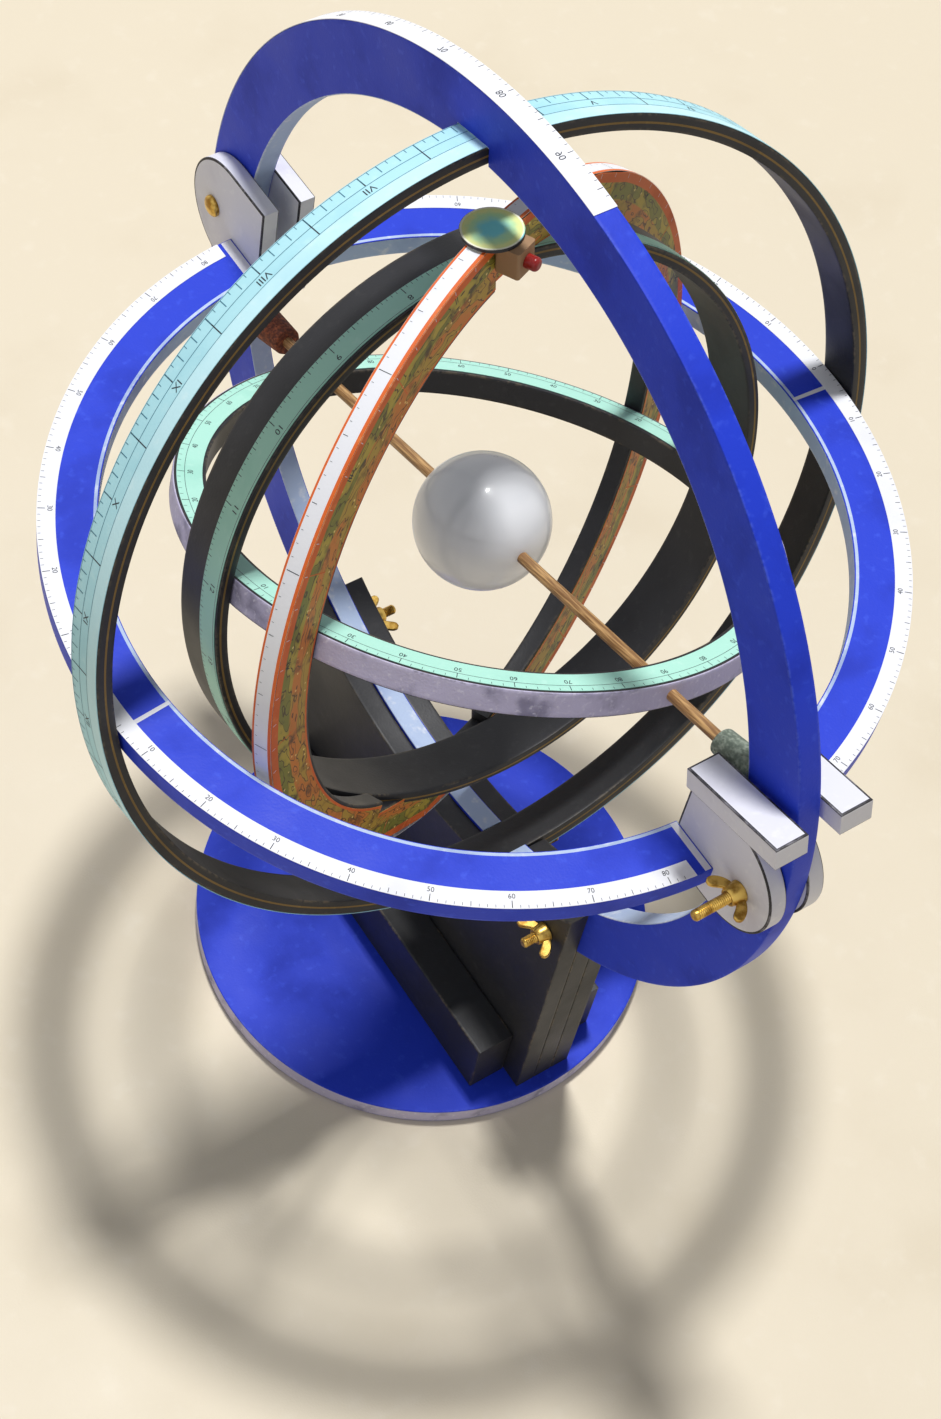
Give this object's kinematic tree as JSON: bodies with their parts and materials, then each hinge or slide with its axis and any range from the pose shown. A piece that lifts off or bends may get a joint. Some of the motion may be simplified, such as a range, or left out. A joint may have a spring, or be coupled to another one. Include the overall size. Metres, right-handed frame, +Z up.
{
  "type": "armillary sphere",
  "caption": "Armillary sphere on a round base: a fixed meridian, horizon and hour ring carry a turning cage of colure, equator and ecliptic rings round a ball, with a sun marker.",
  "frame": {"origin": "centre of the base disc's underside", "axes": "+Z up, -Y towards the raised pole's side, meridian ring in the plane X = 0 with its west side at -X"},
  "size_m": [0.392, 0.442, 0.5418],
  "materials": {
    "blue_board": "satin painted",
    "black_board": "matt painted",
    "white_board": "matt",
    "white_scale": "matt printed",
    "cyan_scale": "matt printed",
    "inner_board": "matt painted",
    "chart_paper": "matt printed",
    "rod_wood": "satin",
    "cork": "matt",
    "ball_paint": "satin",
    "brass": "polished",
    "sun_paper": "matt",
    "pin_head": "satin"
  },
  "bodies": {
    "stand": {"base_disc": "blue_board", "meridian_ring": "blue_board", "horizon_ring_west": "blue_board", "horizon_ring_east": "blue_board", "pedestal_core": "black_board", "pedestal_cheek_west": "black_board", "pedestal_cheek_east": "black_board", "pedestal_block_west": "black_board", "pedestal_block_east": "black_board", "hour_ring": "black_board", "horizon_bracket_north_west": "white_board", "horizon_bracket_north_east": "white_board", "horizon_bracket_south_west": "white_board", "horizon_bracket_south_east": "white_board", "pivot_block": "white_board", "pivot_bar_west": "white_board", "pivot_bar_east": "white_board", "meridian_scale": "white_scale", "horizon_scale_west": "white_scale", "horizon_scale_east": "white_scale", "hour_scale": "cyan_scale", "pivot_cork": "cork", "horizon_bolt_north": "brass", "horizon_bolt_south": "brass", "pedestal_bolt_south_low": "brass", "pedestal_bolt_south_high": "brass", "pedestal_bolt_north": "brass", "hex_nut_pedestal_south_low": "brass"},
    "celestial_sphere": {"polar_rod": "rod_wood", "ball": "ball_paint", "colure_ring": "inner_board", "colure_scale": "cyan_scale", "equator_ring": "inner_board", "equator_scale": "cyan_scale", "ecliptic_ring": "inner_board", "ecliptic_chart": "chart_paper", "ecliptic_edge_strip": "white_scale"},
    "sun_marker": {"sun_disc": "sun_paper", "sun_clip": "cork", "sun_pin": "pin_head"},
    "wing_nut_horizon_north": {"wing_nut_horizon_north": "brass"},
    "wing_nut_horizon_south": {"wing_nut_horizon_south": "brass"},
    "wing_nut_pedestal_south_high": {"wing_nut_pedestal_south_high": "brass"},
    "wing_nut_pedestal_north": {"wing_nut_pedestal_north": "brass"}
  },
  "joints": [
    {"name": "sphere_turn", "type": "hinge", "parent": "stand", "child": "celestial_sphere", "pos_m": [0, 0.0185, 0.32299], "axis": [0, -0.9613, 0.2756], "continuous": true},
    {"name": "sun_along_ecliptic", "type": "hinge", "parent": "celestial_sphere", "child": "sun_marker", "pos_m": [0, 0.0185, 0.32299], "axis": [0.383, -0.9112, 0.152], "continuous": true},
    {"name": "wing_nut_horizon_north_turn", "type": "hinge", "parent": "stand", "child": "wing_nut_horizon_north", "pos_m": [0, 0.22164, 0.32949], "axis": [1, 0, 0], "continuous": true},
    {"name": "wing_nut_horizon_south_turn", "type": "hinge", "parent": "stand", "child": "wing_nut_horizon_south", "pos_m": [0, -0.18464, 0.32949], "axis": [1, 0, 0], "continuous": true},
    {"name": "wing_nut_pedestal_south_high_turn", "type": "hinge", "parent": "stand", "child": "wing_nut_pedestal_south_high", "pos_m": [0, -0.0985, 0.1568], "axis": [1, 0, 0], "continuous": true},
    {"name": "wing_nut_pedestal_north_turn", "type": "hinge", "parent": "stand", "child": "wing_nut_pedestal_north", "pos_m": [0, 0.0985, 0.13616], "axis": [1, 0, 0], "continuous": true}
  ]
}
